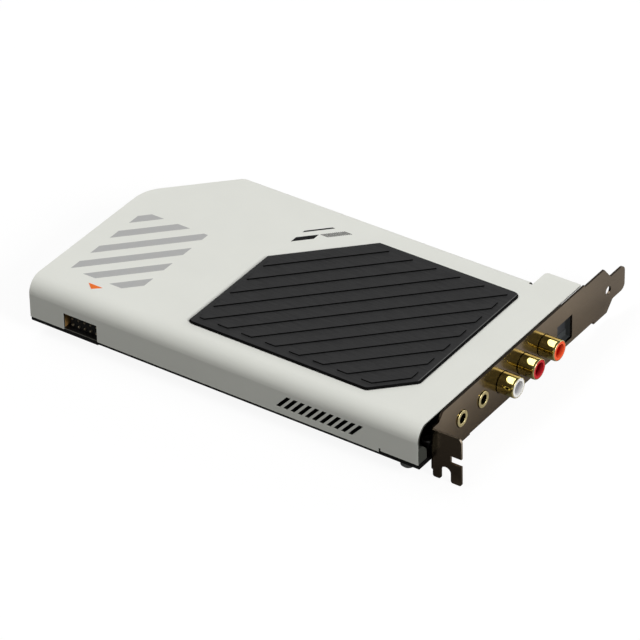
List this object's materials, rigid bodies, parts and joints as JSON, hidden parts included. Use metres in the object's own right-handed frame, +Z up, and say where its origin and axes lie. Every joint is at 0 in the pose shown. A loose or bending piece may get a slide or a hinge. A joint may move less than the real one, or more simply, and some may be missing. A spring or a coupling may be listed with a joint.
{
  "type": "pci sound card",
  "caption": "Computer expansion sound card: circuit board under a folded off-white cover with a ribbed dark pad, on a slot bracket with gold jacks, phono sockets and an optical port.",
  "frame": {"origin": "middle of the card's footprint, at the height of the screw tab's tips", "axes": "+X along the card towards the bracket, +Y from the screw tab to the slot tongue, +Z up from the board"},
  "size_m": [0.1716, 0.126, 0.0229],
  "materials": {
    "bracket": "satin dark bronze plating",
    "cover": "smooth off-white coat",
    "top_pad": "dark grey, fine grain",
    "circuit_board": "black solder mask",
    "gold": "gold plating",
    "black_plastic": "moulded black",
    "optical_plastic": "moulded dark grey",
    "lens": "clear red emitter",
    "white_liner": "white",
    "red_liner": "red",
    "orange_liner": "orange",
    "steel": "zinc plated",
    "spacer_brass": "turned",
    "chip_epoxy": "moulded epoxy",
    "relay_case": "cream case",
    "film_case": "tan case",
    "can": "drawn aluminium",
    "ceramic": "tan ceramic",
    "ferrite": "pressed ferrite"
  },
  "bodies": {
    "card": {"bracket": "bracket", "cover": "cover", "top_pad": "top_pad", "circuit_board": "circuit_board", "edge_contacts": "gold", "headphone_jack_body": "black_plastic", "headphone_jack_ring": "gold", "microphone_jack_body": "black_plastic", "microphone_jack_ring": "gold", "left_output_body": "black_plastic", "left_output_barrel": "gold", "left_output_liner": "white_liner", "right_output_body": "black_plastic", "right_output_barrel": "gold", "right_output_liner": "red_liner", "digital_output_body": "black_plastic", "digital_output_barrel": "gold", "digital_output_liner": "orange_liner", "output_contacts": "gold", "optical_housing": "optical_plastic", "optical_emitter": "lens", "header_block": "black_plastic", "header_pins": "gold", "cover_spacers": "spacer_brass", "cover_screws": "steel", "ear_screws": "steel", "audio_processor": "chip_epoxy", "converter_chips": "chip_epoxy", "amplifier_chips": "chip_epoxy", "memory_chip": "chip_epoxy", "relays": "relay_case", "regulators": "chip_epoxy", "chokes": "ferrite", "film_capacitors": "film_case", "crystal": "can", "capacitor_bases": "black_plastic", "capacitor_cans": "can", "chip_passives": "ceramic"},
    "shutter": {"optical_shutter": "optical_plastic"}
  },
  "joints": [
    {"name": "shutter_hinge", "type": "hinge", "parent": "card", "child": "shutter", "pos_m": [0.07122, 0.02426, 0.0142], "axis": [0, 1, 0], "range_deg": [0, 75], "stiffness_Nm_per_rad": 0.0004, "springref_deg": -17.19}
  ]
}
